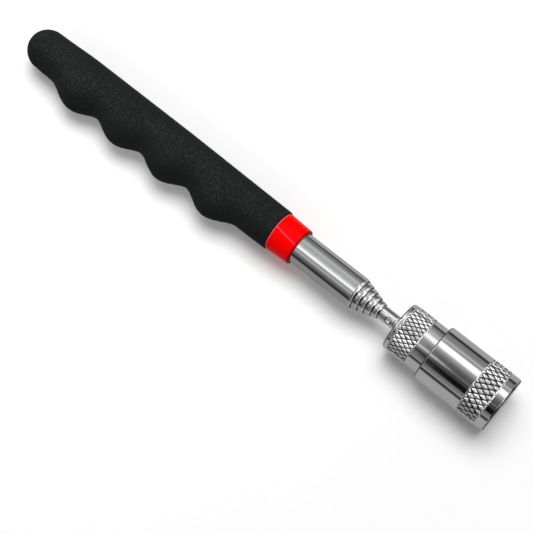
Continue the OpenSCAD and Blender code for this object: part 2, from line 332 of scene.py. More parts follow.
# Outside radii of the six tubes, counted from 1.
TUBE_R = [0.0] + [5.3 - 0.6 * k for k in range(6)]


def ease(u):
    u = min(1.0, max(0.0, u))
    return u * u * (3 - 2 * u)


def wave(u):
    """Half a wave from 0 to 1, a little fuller than a sine."""
    return ((1 - math.cos(math.pi * min(1.0, max(0.0, u)))) / 2) ** CREST_FULLNESS


def grip_radius(x):
    """Radius of the round grip: a domed butt, a swell and a slow taper to the front."""
    if x < BUTT_R:
        return math.sqrt(max(0.0, BUTT_R ** 2 - (BUTT_R - x) ** 2))
    if x < TAPER_X:
        return BUTT_R + (GRIP_R - BUTT_R) * ease((x - BUTT_R) / SWELL)
    return GRIP_R + (FRONT_R - GRIP_R) * (x - TAPER_X) / (GRIP_LEN - TAPER_X)


def grip_ridge(x):
    """How far the finger ridge stands over the round grip, at its top."""
    round_r = grip_radius(x)
    if x <= FIRST_CREST:
        return (CREST_REACH - round_r) * wave(1 - (FIRST_CREST - x) / CREST_SLOPE)
    if x >= LAST_CREST:
        return (CREST_REACH - round_r) * wave(1 - (x - LAST_CREST) / CREST_SLOPE)
    step = (x - FIRST_CREST) / CREST_PITCH
    valley = VALLEY_REACH[min(CRESTS - 2, int(step))]
    return max(0.0, valley + (CREST_REACH - valley) * wave(abs(1 - 2 * (step % 1.0))) - round_r)


def grip_rings():
    """Rings of the grip as (x, radius, ridge), from the butt over the front edge and down the bore."""
    stations = [BUTT_R * (1 - math.cos(math.pi / 2 * k / BUTT_STEPS)) for k in range(1, BUTT_STEPS + 1)]
    x = BUTT_R
    while x < GRIP_LEN - 1.0:
        x += STATION
        stations.append(x)
    rings = [(x, grip_radius(x), grip_ridge(x)) for x in stations if x < GRIP_LEN - 0.5]
    for k in range(6):
        a = math.pi / 2 * k / 5
        x = GRIP_LEN - GRIP_EDGE + GRIP_EDGE * math.sin(a)
        rings.append((x, FRONT_R - GRIP_EDGE + GRIP_EDGE * math.cos(a), 0.0))
    bore = TUBE_R[1] + FIT
    return rings + [(GRIP_LEN, bore, 0.0), (BORE_X, bore, 0.0)]


def make_grip():
    """Foam sleeve, closed at the butt, with the finger ridge along its -Y side."""
    columns = GRIP_COLUMNS
    rings = grip_rings()
    verts = [place(0, 0, 0)]
    for x, r, ridge in rings:
        for i in range(columns):
            turn = 2 * math.pi * i / columns
            side = (1 - math.sin(turn)) / 2
            verts.append(place(x, r + ridge * side ** RIDGE_POWER, turn))
    faces = [(0, 1 + i, 1 + (i + 1) % columns) for i in range(columns)]
    for _, _, corners in grid(len(rings), columns, closed=False):
        faces.append(tuple(1 + v for v in corners))
    last = 1 + (len(rings) - 1) * columns
    bottom = len(verts)
    verts.append(place(BORE_X, 0, 0))
    faces += [(last + (i + 1) % columns, last + i, bottom) for i in range(columns)]
    return add_object("foam_grip", verts, faces, 50)


def foam_material():
    """Closed-cell foam rubber: a pebbled skin, mottled, with painted glints: paler specks, strongest on its upper
    side.
    """
    mat, n = new_material("foam")
    at = stretched(n, 1, 1)
    cells = n.add("ShaderNodeTexVoronoi", {"Vector": at}, values={"Scale": 1900.0, "Randomness": 1.0})
    fine = noise(n, at, 1500.0, 4.0, 0.62)
    coarse = noise(n, at, 300.0, 3.0)
    cloud = noise(n, at, 55.0, 2.0)
    height = n.maths("ADD", n.maths("MULTIPLY", cells.outputs["Distance"], 0.7), n.maths("MULTIPLY", fine, 0.8))
    height = n.maths("ADD", height, n.maths("MULTIPLY", coarse, 0.4))
    # Painted glints: paler specks, stronger where the skin faces up towards the lamps.
    facing = n.add("ShaderNodeNewGeometry").outputs["Normal"]
    upward = n.fade(n.parts(facing)["Z"], 0.75, 1.0)
    painted_glint = n.maths("MULTIPLY", n.fade(fine, 0.43, 0.67), n.maths("MULTIPLY_ADD", upward, 0.65, 0.35))
    tint = n.blend(painted_glint, (0.0074, 0.0082, 0.0079, 1.0), (0.0295, 0.0320, 0.0312, 1.0))
    tint = n.blend(n.fade(cloud, 0.35, 0.7, 0.0, 0.4), tint, (0.0075, 0.0083, 0.008, 1.0))
    gloss = n.fade(fine, *MIDDLE, 0.6, 0.85)
    principled(n, tint, gloss, 0.0, bump(n, height, 0.6, 0.14), **{"Specular IOR Level": 0.13})
    return mat


grip = make_grip()
grip.data.materials.append(foam_material())
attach(grip, "handle")
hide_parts("handle_grip")

# ---------------------------------------------------------------- collar

COLLAR_END = GRIP_LEN + 8.7
COLLAR_REAR_R = 6.65
COLLAR_FRONT_R = 6.2
# Painted highlight line on the collar: its angle round the axis at the collar's rear, in degrees, and its turn in
# degrees per mm towards the front.
HIGHLIGHT_TURN = -6.0
HIGHLIGHT_LEAN = -1.25


def collar_material():
    """Glossy red moulding with painted light: a thin pale highlight line, a pale highlight on the rear rim and
    painted shade on the front edge.
    """
    mat, n = new_material("red_moulding")
    at = n.parts(n.here())
    along = n.maths("DIVIDE", n.maths("SUBTRACT", at["X"], BUTT_X), MM)
    across, above = from_axis(n, at)
    turn = n.maths("DEGREES", n.maths("ARCTAN2", across, above))
    # Painted highlight: a thin pale line slanting round the collar.
    highlight_at = n.maths("MULTIPLY_ADD", n.maths("SUBTRACT", along, GRIP_LEN), HIGHLIGHT_LEAN, HIGHLIGHT_TURN)
    line = n.fade(n.maths("ABSOLUTE", n.maths("SUBTRACT", turn, highlight_at)), 0.8, 2.6, 1.0, 0.0)
    cloud = noise(n, stretched(n, 120, 120), detail=2.0)
    # Painted highlight: a pale pink band along the rear rim.
    rim_highlight = n.fade(along, GRIP_LEN + 0.15, GRIP_LEN + 0.45, 0.35, 0.0)
    # Painted shade: a dark red band along the front edge.
    edge = n.fade(along, COLLAR_END - 0.6, COLLAR_END - 0.35, 0.0, 0.85)
    tint = mottled(n, cloud, (0.95, 0.0004, 0.0006, 1.0), (1.0, 0.0005, 0.0007, 1.0))
    tint = n.blend(line, tint, (1.0, 0.045, 0.075, 1.0))
    tint = n.blend(rim_highlight, tint, (1.0, 0.30, 0.30, 1.0))
    tint = n.blend(edge, tint, (0.16, 0.003, 0.004, 1.0))
    fine = noise(n, stretched(n, 500, 500), detail=4.0, rough=0.6)
    normal = bump(n, fine, 1.0, 0.004)
    principled(n, tint, n.fade(fine, *MIDDLE, 0.09, 0.13), 0.0, normal, **{"Specular IOR Level": 0.05})
    return mat


collar = lathe("red_collar", rounded([
    (GRIP_LEN, TUBE_R[1] + FIT), (GRIP_LEN, COLLAR_REAR_R, 0.12),
    (COLLAR_END, COLLAR_FRONT_R, 0.35), (COLLAR_END, TUBE_R[1] + FIT, 0.12),
], 8))
collar.data.materials.append(collar_material())
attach(collar, "handle")
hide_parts("grip_collar")

# ---------------------------------------------------------------- tubes

WALL = 0.3
OUTER_X = 4.3
OUTER_SHOWS = 23.8
TUBE_SHOWS = 2.1
NECK_SHOWS = 6.6
MOUTH_LEN = 0.3
SWAGE_LEN = 0.6
TURN_IN = 1.2
LIP_EDGE = 0.2
TAIL_X = 9.5
FLANGE = 0.6
SLEEVE_LEN = 8.0
BEAD_LEN = 0.5
BEAD_RISE = 0.15
# How far back from a mouth the painted shade on its lip reaches.
DARK_LIP = LIP_EDGE * 0.95
# Mouths of the first five tubes, counted from 1.
MOUTH_X = [0.0] + [COLLAR_END + OUTER_SHOWS + TUBE_SHOWS * k for k in range(5)]
CAP_X = MOUTH_X[5] + NECK_SHOWS


def mouth(n):
    """Drawn-in end of a tube: it turns in more and more steeply up to the lip, then the cut edge."""
    x = MOUTH_X[n]
    bore = TUBE_R[n + 1] + RUN
    lip = bore + WALL
    soft = []
    for k in range(13):
        u = k / 12
        soft.append((x - TURN_IN + (TURN_IN - LIP_EDGE) * u, TUBE_R[n] + (lip - TUBE_R[n]) * u ** 2))
    return soft + [
        (x, lip - 0.04, LIP_EDGE), (x, bore, 0.1), (x - MOUTH_LEN, bore),
        (x - MOUTH_LEN - SWAGE_LEN, TUBE_R[n] - WALL),
    ]


def tail(n):
    """Rear end of a sliding tube: its flange, the seat of the friction sleeve and a bead ahead of it."""
    r = TUBE_R[n]
    flange_r = TUBE_R[n - 1] - WALL - 2 * RUN
    bead = TAIL_X + FLANGE + SLEEVE_LEN + 2 * FIT
    return [
        (TAIL_X, flange_r), (TAIL_X + FLANGE, flange_r), (TAIL_X + FLANGE, r), (bead, r),
        (bead, r + BEAD_RISE, 0.08), (bead + BEAD_LEN, r + BEAD_RISE, 0.08), (bead + BEAD_LEN, r),
    ]


def darken_lip(obj, n):
    """The cut edge of the drawn-in end and its rounding get painted shade, a near-black dull chrome."""
    obj.data.materials.append(painted_shade)
    x = BUTT_X + (MOUTH_X[n] - DARK_LIP) * MM
    for poly in obj.data.polygons:
        if poly.center.x > x:
            poly.material_index = 1


# Near-black of the painted shade in the tubes' lips, the pin's holes, the knurl's grooves and the front lip.
DARK = (0.03, 0.03, 0.031)
chrome = metal("bright_chrome", (0.80, 0.805, 0.81), 0.045, 0.0022, 0.03, 0.006)
painted_shade = metal("painted_shade", DARK, 0.35, 0.0, 0.1)

outer = lathe("outer_tube_shell", rounded([(OUTER_X, TUBE_R[1] - WALL), (OUTER_X, TUBE_R[1])] + mouth(1), 5))
outer.data.materials.append(chrome)
darken_lip(outer, 1)
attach(outer, "handle")
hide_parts("outer_tube")

for n in range(2, 6):
    piece = lathe(f"tube_{n}_shell", rounded([(TAIL_X, TUBE_R[n] - WALL)] + tail(n) + mouth(n), 5), 160)
    piece.data.materials.append(chrome)
    darken_lip(piece, n)
    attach(piece, f"stage_{n}")
    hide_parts(f"tube_{n}")

# ---------------------------------------------------------------- neck

NECK_COLUMNS = 96
PIN_X = CAP_X - 3.2
PIN_R = 0.95
PIN_TURN = -math.radians(40)
PIN_ALONG = Vector((0, math.sin(PIN_TURN), math.cos(PIN_TURN)))
PIN_ACROSS = Vector((0, math.cos(PIN_TURN), -math.sin(PIN_TURN)))
HOLE_R = PIN_R + FIT
HOLE_ROLL = 0.28
# How far over the rolled edge of a pin hole the painted shade reaches.
DARK_ROLL = 0.17
PATCH_REACH = 1.7
PATCH_GUARD = 1.75
PATCH_ROWS = 16
PATCH_COLUMNS = 14
CLOSING = (0.35, 0.65, 0.85, 1.0)


def pin_hole(verts, faces, rows, centre, first_out, first_in):
    """Fills the patch left open round one end of the pin, inside and outside the tube.

    Rings of points close in from the patch's border to the hole. The rolled edge and the wall join
    the outer set to the inner one.
    """
    columns = NECK_COLUMNS
    r_out = TUBE_R[6]
    r_in = r_out - WALL
    turn = PIN_TURN + 2 * math.pi * centre / columns
    path = [(s, -PATCH_COLUMNS) for s in range(PATCH_ROWS)]
    path += [(PATCH_ROWS, t) for t in range(-PATCH_COLUMNS, PATCH_COLUMNS)]
    path += [(s, PATCH_COLUMNS) for s in range(PATCH_ROWS, 0, -1)]
    path += [(0, t) for t in range(PATCH_COLUMNS, -PATCH_COLUMNS, -1)]

    def border(row, r):
        """Points of the border, each with its distance from the pin along the tube and around it."""
        found = []
        for s, t in path:
            j = row(s)
            found.append((j * columns + (centre + t) % columns, rows[j][0] - PIN_X, 2 * math.pi * t / columns * r))
        return found

    def ring(loop, r, reach):
        """New ring of points; reach turns a border point's distance from the pin into the new one."""
        first = len(verts)
        for _, dx, ds in loop:
            size = math.hypot(dx, ds)
            new = reach(size)
            verts.append(place(PIN_X + dx / size * new, r, turn + ds / size * new / r))
        return list(range(first, len(verts)))

    outside = border(lambda s: first_out + s, r_out)
    inside = border(lambda s: first_in + PATCH_ROWS - s, r_in)
    outer = [[v for v, _, _ in outside]]
    inner = [[v for v, _, _ in inside]]
    for f in CLOSING:
        outer.append(ring(outside, r_out, lambda size: size + (HOLE_R + HOLE_ROLL - size) * f))
    for f in CLOSING:
        inner.append(ring(inside, r_in, lambda size: size + (HOLE_R - size) * f))
    for k in range(1, 5):
        a = math.pi / 2 * k / 4
        depth = r_out - HOLE_ROLL * (1 - math.cos(a))
        outer.append(ring(outside, depth, lambda size: HOLE_R + HOLE_ROLL * (1 - math.sin(a))))
    chain = outer + inner[::-1]
    for a, b in zip(chain, chain[1:]):
        for i in range(len(a)):
            k = (i + 1) % len(a)
            faces.append((a[i], a[k], b[k], b[i]))


def make_neck_tube():
    """Innermost tube; the cross pin's two holes are let into its grid with a rolled edge."""
    columns = NECK_COLUMNS
    r_out = TUBE_R[6]
    r_in = r_out - WALL
    profile = guarded(rounded([(TAIL_X, r_in)] + tail(6), 5))
    patch = [PIN_X - PATCH_REACH + 2 * PATCH_REACH * k / PATCH_ROWS for k in range(PATCH_ROWS + 1)]
    outside = profile[1:] + [(PIN_X - PATCH_GUARD, r_out)] + [(x, r_out) for x in patch] + [(CAP_X, r_out)]
    inside = [(CAP_X, r_in)] + [(x, r_in) for x in reversed(patch)] + [profile[0]]
    rows = outside + inside
    verts = []
    for x, r in rows:
        verts.extend(place(x, r, PIN_TURN + 2 * math.pi * i / columns) for i in range(columns))
    first_out = len(profile)
    first_in = len(outside) + 1
    centres = (0, columns // 2)

    def open_cell(j, i):
        beside = any((i - c + PATCH_COLUMNS) % columns < 2 * PATCH_COLUMNS for c in centres)
        return beside and any(first <= j < first + PATCH_ROWS for first in (first_out, first_in))

    faces = [corners for j, i, corners in grid(len(rows), columns) if not open_cell(j, i)]
    for centre in centres:
        pin_hole(verts, faces, rows, centre, first_out, first_in)
    obj = add_object("tube_6_shell", verts, faces, 40)
    normals = []
    for x, y, z in verts:
        out = Vector((0, y - AXIS_Y, z - AXIS_Z))
        skin = abs(x - BUTT_X - PIN_X * MM) < (PATCH_REACH + 0.1) * MM and out.length > (r_out - 0.001) * MM
        normals.append(out.normalized() if skin else Vector((0, 0, 0)))
    obj.data.normals_split_custom_set_from_vertices(normals)
    return obj


def make_pin():
    """Cross pin with dished ends, turned about its own axis."""
    half = TUBE_R[6] - 0.1
    dished = [
        (0.36, 0.0), (0.35, 0.16), (0.21, 0.4), (0.11, 0.58), (0.02, 0.72), (0.0, 0.77), (0.02, 0.83), (0.1, 0.9),
        (0.3, PIN_R),
    ]
    profile = [(-half + depth, r) for depth, r in dished]
    profile += [(-z, r) for z, r in reversed(profile)]
    columns = 48
    ahead = Vector((1, 0, 0))
    centre = Vector(place(PIN_X, 0, 0))
    verts = []
    for z, r in profile:
        for i in range(columns):
            a = 2 * math.pi * i / columns
            out = (ahead * math.cos(a) + PIN_ACROSS * math.sin(a)) * max(r, 0.002)
            verts.append(tuple(centre + (PIN_ALONG * z + out) * MM))
    faces = [(p, s, r, q) for _, _, (p, q, r, s) in grid(len(profile), columns, closed=False)]
    faces.append(tuple(range(columns - 1, -1, -1)))
    faces.append(tuple(range((len(profile) - 1) * columns, len(profile) * columns)))
    return add_object("cross_pin", verts, faces, 40)


def darken_hole(obj):
    """The rolled edge and the wall of the pin's two holes get painted shade, a near-black dull chrome."""
    obj.data.materials.append(painted_shade)
    centre = Vector(place(PIN_X, 0, 0))
    for poly in obj.data.polygons:
        off = Vector(poly.center) - centre
        if (off - PIN_ALONG * off.dot(PIN_ALONG)).length < (HOLE_R + DARK_ROLL) * MM:
            poly.material_index = 1


neck = make_neck_tube()
neck.data.materials.append(chrome)
darken_hole(neck)
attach(neck, "head")
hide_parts("tube_6")

pin = make_pin()
pin.data.materials.append(metal("pin_metal", (0.72, 0.725, 0.73), 0.12, 0.001, 0.06))
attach(pin, "head")
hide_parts("neck_pin")

# ---------------------------------------------------------------- knurled head

BODY_X = CAP_X + 13.1
TIP_X = BODY_X + 25.4
MAGNET_X = TIP_X - 9.0
BOARD_X = MAGNET_X - 2.0
HEAD_R = 9.48
HEAD_KNURL_R = 9.6
HEAD_GROOVE = 0.38
HEAD_KNURL = (BODY_X + 15.2, BODY_X + 22.25)
HEAD_HELIX = 31.6
CAP_R = 8.1
CAP_KNURL_R = 8.22
CAP_GROOVE = 0.33
CAP_KNURL = (CAP_X + 1.3, CAP_X + 8.5)
CAP_HELIX = 32.1
STARTS = 32
CELLS = 12
FLANK = 5
SPIGOT_R = 7.6
SPIGOT_END = BODY_X + 7.7
BODY_BORE_R = 7.65
CHAMBER_X = CAP_X + 2.8
CHAMBER_R = 6.16
STAKE_R = 2.22
STAKE_LEN = 0.62
STEM_HOLE_R = 1.42
SEAL_X = BODY_X + 0.9
SEAL_LEN = 1.2
SEAL_R = SPIGOT_R - 0.8
MAGNET_SEAT_R = 7.92
MAGNET_R = 7.9
MAGNET_BORE_R = 3.6
LAMP_SEAT_R = 5.0
SHOULDER_GAP = 0.05
# Share of a groove's depth, from the crest down, over which painted shade darkens the chrome.
GROOVE_DARK = (0.82, 0.62)
# The front lip's painted shade: its length, and its width in from the outside of the body.
LIP_LEN = (0.34, 0.26)
LIP_WIDTH = (0.56, 0.5)


def knurled(name, before, band, r, plain, helix, after, depth):
    """Turned piece with a band of diamond knurling, whose grid follows the two sets of grooves.

    The points of the diamonds stand at r, and the plain metal beside the band at the radius plain.
    A diamond is CELLS cells wide, and rises over FLANK cells from a groove.
    """
    start, end = band
    columns = STARTS * CELLS
    step = 2 * math.pi * r / STARTS / math.tan(math.radians(helix)) / CELLS
    count = round((end - start) / step)

    def height(i, j):
        a = (i + j) % CELLS
        b = (i - j) % CELLS
        rise = min(min(a, CELLS - a), min(b, CELLS - b), FLANK) / FLANK
        ends = min(1.0, j / 2, (count - j) / 2)
        return plain + (r - depth * (1 - rise) - plain) * ends

    rings = guarded(before + [(start - 0.04, plain)])
    first = len(rings)
    rings += [(start + j * step, None) for j in range(count + 1)]
    rings += guarded([(start + count * step + 0.04, plain)] + after)
    verts = []
    for j, (x, ring_r) in enumerate(rings):
        for i in range(columns):
            at = height(i, j - first) if ring_r is None else ring_r
            verts.append(place(x, at, 2 * math.pi * i / columns))
    faces = []
    for row, i, corners in grid(len(rings), columns):
        j = row - first
        p, q, s, t = corners
        if not 0 <= j < count:
            faces.append(corners)
        elif (i + 1 + j) % CELLS in (0, FLANK, CELLS // 2, CELLS - FLANK):
            faces += [(p, q, t), (q, s, t)]
        else:
            faces += [(p, q, s), (p, s, t)]
    return add_object(name, verts, faces, 30)


def knurled_chrome(name, crest_r, depth, start, end):
    """Chrome with painted shade: dark in the knurl's grooves, between start and end, and on the outside of the
    front lip.
    """
    mat, n = new_material(name)
    at = n.parts(n.here())
    across, above = from_axis(n, at)
    squares = n.maths("ADD", n.maths("MULTIPLY", across, across), n.maths("MULTIPLY", above, above))
    radius = n.maths("SQRT", squares)

    def along(low, high, to_low=0.0, to_high=1.0):
        return n.fade(at["X"], BUTT_X + low * MM, BUTT_X + high * MM, to_low, to_high)

    low, high = (crest_r - share * depth for share in GROOVE_DARK)
    crest = n.fade(radius, low * MM, high * MM)
    outside = n.maths("MAXIMUM", along(start, start + 0.02, 1.0, 0.0), along(end, end + 0.1))
    behind_lip = along(TIP_X - LIP_LEN[0], TIP_X - LIP_LEN[1], 1.0, 0.0)
    inside_lip = n.fade(radius, (HEAD_R - LIP_WIDTH[0]) * MM, (HEAD_R - LIP_WIDTH[1]) * MM, 1.0, 0.0)
    # Painted shade: dark in the grooves and on the outside of the front lip, bright elsewhere.
    unshaded = n.maths("MAXIMUM", crest, outside)
    unshaded = n.maths("MULTIPLY", unshaded, n.maths("MAXIMUM", behind_lip, inside_lip))
    cloud, gloss, normal = metal_surface(n, 0.05, 0.03, 0.001, 0.004)
    bright = mottled(n, cloud, (0.77, 0.775, 0.78, 1.0), (0.81, 0.815, 0.82, 1.0))
    principled(n, n.blend(unshaded, DARK + (1.0,), bright), gloss, 1.0, normal)
    return mat


def darken_edge(obj, x, r):
    """Faces behind x and outside r take the second material, painted shade: a dark dull chrome."""
    obj.data.materials.append(rim_shade)
    for poly in obj.data.polygons:
        at = poly.center
        if at.x < BUTT_X + x * MM and math.hypot(at.y - AXIS_Y, at.z - AXIS_Z) > r * MM:
            poly.material_index = 1


# Painted shade for the rear rims of the cap and the body.
rim_shade = metal("rim_shade", (0.10, 0.10, 0.103), 0.3, 0.0, 0.1)
cap_chrome = knurled_chrome("cap_chrome", CAP_KNURL_R, CAP_GROOVE, CAP_X + 0.01, CAP_KNURL[1])
body_chrome = knurled_chrome("body_chrome", HEAD_KNURL_R, HEAD_GROOVE, BODY_X + 0.01, HEAD_KNURL[1])

# The last point of each front part only gives the rounding its direction.
cap_before = rounded([
    (CAP_X, STEM_HOLE_R), (CAP_X, CAP_R - 0.4, 0.1), (CAP_X + 0.2, CAP_R - 0.2, 0.1), (CAP_X + 0.55, CAP_R, 0.1),
    (CAP_X + 1.29, CAP_R),
])
cap_after = rounded([
    (BODY_X - SHOULDER_GAP, CAP_R), (BODY_X - SHOULDER_GAP, SPIGOT_R), (SEAL_X, SPIGOT_R), (SEAL_X, SEAL_R),
    (SEAL_X + SEAL_LEN, SEAL_R), (SEAL_X + SEAL_LEN, SPIGOT_R), (SPIGOT_END, SPIGOT_R), (SPIGOT_END, CHAMBER_R),
    (CHAMBER_X, CHAMBER_R), (CHAMBER_X, STAKE_R), (CHAMBER_X - STAKE_LEN, STAKE_R),
    (CHAMBER_X - STAKE_LEN, STEM_HOLE_R),
])
cap = knurled("knurled_cap", cap_before[:-1], CAP_KNURL, CAP_KNURL_R, CAP_R, CAP_HELIX, cap_after, CAP_GROOVE)
cap.data.materials.append(cap_chrome)
# Painted shade on the cap's rear rim.
darken_edge(cap, CAP_X + 0.19, CAP_R - 0.5)
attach(cap, "head")
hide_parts("rear_cap")

body_before = rounded([
    (BODY_X, BODY_BORE_R), (BODY_X, HEAD_R - 0.26, 0.08), (BODY_X + 0.4, HEAD_R, 0.08), (BODY_X + 15.19, HEAD_R),
])
body_after = rounded([
    (TIP_X - 0.5, HEAD_R, 0.1), (TIP_X, HEAD_R - 0.32, 0.1), (TIP_X, MAGNET_SEAT_R, 0.08),
    (MAGNET_X, MAGNET_SEAT_R), (MAGNET_X, LAMP_SEAT_R), (BOARD_X + 0.8, LAMP_SEAT_R), (BOARD_X + 0.8, BODY_BORE_R),
])
body = knurled(
    "knurled_body", body_before[:-1], HEAD_KNURL, HEAD_KNURL_R, HEAD_R, HEAD_HELIX, body_after, HEAD_GROOVE
)
body.data.materials.append(body_chrome)
# Painted shade on the body's rear rim.
darken_edge(body, BODY_X + 0.36, HEAD_R - 0.8)
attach(body, "lamp_head")
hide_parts("front_body")

magnet = lathe("ring_magnet", rounded([
    (MAGNET_X, MAGNET_BORE_R), (MAGNET_X, MAGNET_R), (TIP_X, MAGNET_R, 0.3), (TIP_X, MAGNET_BORE_R, 0.3),
], 5), 160)
magnet.data.materials.append(metal("nickel", (0.66, 0.64, 0.60), 0.14, 0.0, 0.10, 0.01))
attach(magnet, "lamp_head")
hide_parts("magnet_ring")

# ---------------------------------------------------------------- the solids that stay as they are


def clear_lens():
    mat, n = new_material("clear_lens")
    gloss = n.fade(noise(n, stretched(n, 500, 500), detail=2.0), *MIDDLE, 0.02, 0.07)
    principled(n, (0.97, 0.985, 1.0, 1.0), gloss, **{"Transmission Weight": 0.85, "IOR": 1.5})
    return mat


finishes = {
    "tube_end_plug": plastic("plug_moulding", (0.05, 0.05, 0.055), 0.5),
    "neck_stem": metal("turned_steel", (0.56, 0.57, 0.58), 0.25, 0.002, 0.1),
    "cap_seal_ring": plastic("seal_rubber", (0.02, 0.02, 0.021), 0.6),
    "battery_spring": metal("spring_wire", (0.5, 0.51, 0.52), 0.25, 0.0, 0.1),
    "battery_sleeve": plastic("film_tube", (0.75, 0.73, 0.68), 0.4),
    "lamp_board": plastic("fibreglass", (0.03, 0.2, 0.08), 0.4),
    "board_contact": metal("plated_contact", (0.75, 0.58, 0.25), 0.2, 0.0, 0.08),
    "lamp": clear_lens(),
    "lamp_holder": plastic("holder_moulding", (0.02, 0.02, 0.022), 0.45),
}
brass = metal("spring_brass", (0.72, 0.52, 0.2), 0.22, 0.002, 0.1)
cell_can = metal("cell_can", (0.65, 0.66, 0.67), 0.2, 0.0, 0.1, 0.004)
for n in range(2, 7):
    finishes[f"friction_sleeve_{n}"] = brass
for n in range(1, 5):
    finishes[f"button_cell_{n}"] = cell_can
for name, finish in finishes.items():
    mesh = nodes[name].data
    mesh.materials.clear()
    mesh.materials.append(finish)

# ---------------------------------------------------------------- floor

# The tool's axis is level and its head is thicker than its grip, so the floor that both rest on
# rises towards the butt, by 2.0 mm over the 143.5 mm between the two places.
SLOPE = 2.0 / 143.5
REST_X = BUTT_X + 167.6 * MM
FLOOR_SIZE = 4.0
FLOOR_GAP = 0.00002
# Distance from the middle over which the paper turns to plain white.
WHITE_FROM = (0.25, 0.7)
# Painted reflection of the floor: its diffuse and the grey it glows with, the distance aside over which it fades
# to FAR_SHARE, and the stretch behind the head over which it rises from BACK_SHARE, painted shade on the finger
# side.
SHEEN = 0.15
GLOW = 0.26
NEAR_TO_FAR = (0.06, 0.18)
FAR_SHARE = 0.10
BACK_TO_HEAD = (0.125, 0.155)
BACK_SHARE = 0.66


def make_floor():
    """Large plain sheet under the head and the grip's underside."""
    verts = []
    for x, y in ((-1, -1), (1, -1), (1, 1), (-1, 1)):
        x *= FLOOR_SIZE
        verts.append((x, y * FLOOR_SIZE, -(x - REST_X) * SLOPE - FLOOR_GAP))
    return add_object("floor", verts, [(0, 1, 2, 3)])


def mirrored_floor(n):
    """What the tool reflects of the floor, painted: a grey sheen and a glow beside it that fades to black further
    out.

    Painted shade makes it dimmer on the finger side behind the head.
    """
    at = n.parts(n.here())
    aside = n.maths("SUBTRACT", at["Y"], AXIS_Y)
    further = n.fade(aside, -0.005, 0.005)
    back, head = (BUTT_X + x for x in BACK_TO_HEAD)
    dim = n.maths("MAXIMUM", further, n.fade(at["X"], back, head, BACK_SHARE, 1.0))
    close = n.maths("MULTIPLY", n.fade(n.maths("ABSOLUTE", aside), *NEAR_TO_FAR, 1.0, FAR_SHARE), dim)
    sheen = n.add("ShaderNodeBsdfDiffuse", {"Color": n.blend(close, grey(0.0), grey(SHEEN))})
    glow = n.add(
        "ShaderNodeEmission", {"Strength": n.maths("MULTIPLY", close, GLOW)}, values={"Color": grey(1.0)}
    )
    return n.add("ShaderNodeAddShader", {0: sheen.outputs[0], 1: glow.outputs[0]})


def floor_material():
    """White paper for the camera, mid grey for soft light, and for reflections a dark sheet that carries a painted
    reflection.
    """
    mat, n = new_material("floor_paper")
    path = n.add("ShaderNodeLightPath").outputs
    paper = n.fade(noise(n, stretched(n, 3, 3)), *MIDDLE, 0.99, 1.0)
    away = n.add("ShaderNodeVectorMath", {0: n.here()}, operation="LENGTH").outputs["Value"]
    near = n.add("ShaderNodeBsdfDiffuse", {"Color": paper})
    white = n.add("ShaderNodeEmission", values={"Color": grey(1.0), "Strength": 1.0})
    seen = n.add(
        "ShaderNodeMixShader", {0: n.fade(away, *WHITE_FROM), 1: near.outputs[0], 2: white.outputs[0]}
    )
    lit = n.add("ShaderNodeBsdfDiffuse", values={"Color": grey(0.55)})
    other = n.add(
        "ShaderNodeMixShader", {0: path["Is Glossy Ray"], 1: lit.outputs[0], 2: mirrored_floor(n).outputs[0]}
    )
    shown = n.maths("MAXIMUM", path["Is Camera Ray"], path["Is Transmission Ray"])
    final = n.add("ShaderNodeMixShader", {0: shown, 1: other.outputs[0], 2: seen.outputs[0]})
    n.add("ShaderNodeOutputMaterial", {"Surface": final.outputs[0]})
    mat.cycles.emission_sampling = "NONE"
    return mat


floor = make_floor()
floor.data.materials.append(floor_material())

# ---------------------------------------------------------------- world

# A ramp spans this many degrees, half of them on each side of the zenith, and stores half of each level.
SPAN = 200

# How far a direction leans along the axis, as its X part, where one list of bands gives way to the next.
TUBE_TO_KNURL = (-0.27, -0.36)
TUBE_TO_NECK = (-0.157, -0.152)
NECK_TO_CAP = (-0.1335, -0.1315)
CAP_TO_BODY = (-0.0985, -0.0935)
BODY_TO_CONE = (0.0, 0.12)
CONE_TO_KNURL = (0.20, 0.25)
KNURL_TO_LIP = (0.41, 0.45)
LIP_TO_DARK = (0.60, 0.72)
DARK_TO_TUBE = (0.72, 0.80)
STREAK_FADES = (-0.094, -0.072)

# The tubes' and the cones' bands turn by these degrees as the direction leans over these ranges.
TUBE_BEND = 28
TUBE_BENDS = (-0.12, 0.35)
CONE_BEND = 25
CONE_BENDS = (0.1, 0.4)

# Grey levels round the axis, one list for each stretch of the tool.
BODY_BANDS = [
    (-90, 0.06), (-86, 0.06), (-84, 0.36), (-76, 0.21), (-66, 0.17), (-62, 0.006), (-46, 0.006), (-42, 0.05),
    (-31, 0.066), (-29, 0.19), (-27, 0.19), (-25, 0.083), (-14, 0.105), (-7, 0.143), (-3, 0.20), (4, 0.33),
    (11, 0.48), (15, 0.9), (18, 1.3), (34, 1.3), (38, 0.84), (40, 0.30), (46, 0.35), (50, 0.57), (54, 0.47),
    (58, 0.32), (63, 0.25), (78, 0.23), (83, 0.17), (85, 0.04), (90, 0.04),
]
STREAK_BANDS = [(-32, 0.0), (-28, 2.0), (-24, 2.0), (-19, 0.0)]
CAP_BANDS = [
    (-90, 0.06), (-86, 0.06), (-84, 0.30), (-72, 0.21), (-58, 0.18), (-52, 0.12), (-49, 0.045), (-45, 0.045),
    (-40, 0.18), (-33, 0.32), (-27, 0.68), (-23, 0.66), (-18, 0.30), (-6, 0.30), (10, 0.39), (19, 0.83),
    (25, 1.2), (31, 1.2), (38, 0.9), (46, 0.56), (57, 0.52), (66, 0.34), (80, 0.20), (84, 0.17), (86, 0.06),
    (90, 0.06),
]
